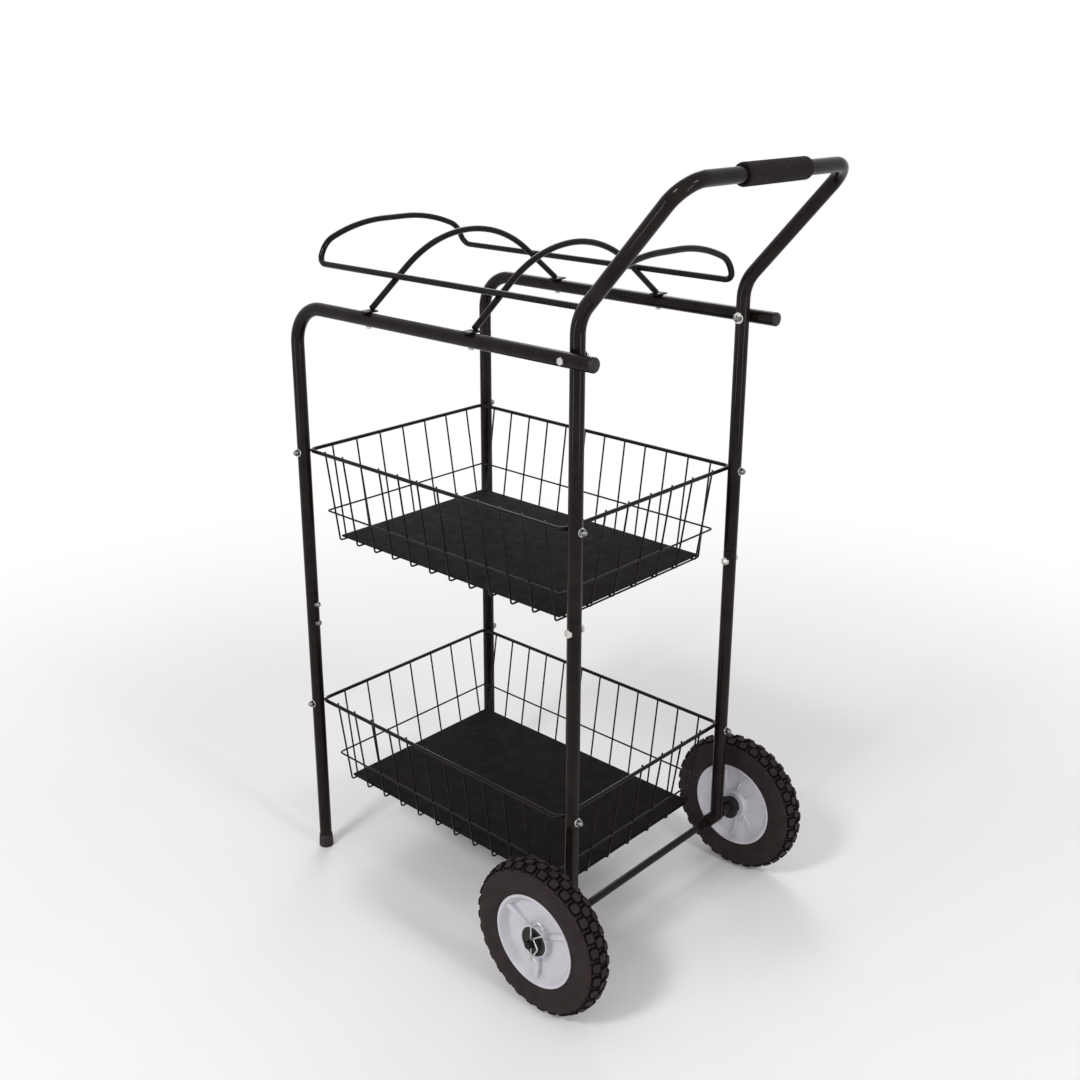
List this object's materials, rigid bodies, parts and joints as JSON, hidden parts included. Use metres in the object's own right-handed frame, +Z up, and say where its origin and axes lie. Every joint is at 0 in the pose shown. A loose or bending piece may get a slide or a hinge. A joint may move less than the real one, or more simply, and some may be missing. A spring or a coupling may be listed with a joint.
{
  "type": "tack cart",
  "caption": "Upright wheeled tack cart: bent tube frame with a handle hoop and foam grip, wire baskets with floor liners, a rod saddle rack on top, treaded wheels and capped legs.",
  "frame": {"origin": "centre of the bounding box at floor level", "axes": "+Z up, +X towards the handle, +Y to the right of a person who stands at the handle and faces the cart"},
  "size_m": [0.8004, 0.6, 1.2945],
  "materials": {
    "black_paint": "gloss black powder coat",
    "foam": "matte closed-cell foam",
    "foot_rubber": "matte rubber",
    "black_plastic": "satin black",
    "white_plastic": "moulded white",
    "tyre": "black rubber",
    "liner": "matte black sheet",
    "zinc": "zinc plated"
  },
  "bodies": {
    "frame": {"handle_hoop": "black_paint", "left_side_tube": "black_paint", "right_side_tube": "black_paint", "left_lower_leg": "black_paint", "right_lower_leg": "black_paint", "left_lower_upright": "black_paint", "right_lower_upright": "black_paint", "saddle_rack": "black_paint", "upper_basket": "black_paint", "lower_basket": "black_paint", "axle": "black_paint", "left_axle_spacer": "black_paint", "right_axle_spacer": "black_paint", "foam_grip": "foam", "left_foot_cap": "foot_rubber", "left_rail_plug": "black_plastic", "left_axle_clip": "zinc", "right_foot_cap": "foot_rubber", "right_rail_plug": "black_plastic", "right_axle_clip": "zinc", "upper_basket_liner": "liner", "lower_basket_liner": "liner", "rail_bolts": "zinc", "rail_nuts": "zinc", "rail_washers": "zinc", "basket_bolts": "zinc", "basket_nuts": "zinc", "basket_washers": "zinc", "upright_bolts": "zinc", "upright_nuts": "zinc", "leg_bolts": "zinc", "leg_nuts": "zinc", "rack_screws": "zinc", "axle_washers": "black_plastic"},
    "left_wheel": {"left_wheel_hub": "white_plastic", "left_hub_bushing": "black_plastic", "left_tyre": "tyre"},
    "right_wheel": {"right_wheel_hub": "white_plastic", "right_hub_bushing": "black_plastic", "right_tyre": "tyre"}
  },
  "joints": [
    {"name": "left_wheel_spin", "type": "hinge", "parent": "frame", "child": "left_wheel", "pos_m": [0.21315, -0.266, 0.127], "axis": [0, 1, 0], "continuous": true},
    {"name": "right_wheel_spin", "type": "hinge", "parent": "frame", "child": "right_wheel", "pos_m": [0.21315, 0.266, 0.127], "axis": [0, 1, 0], "continuous": true}
  ]
}
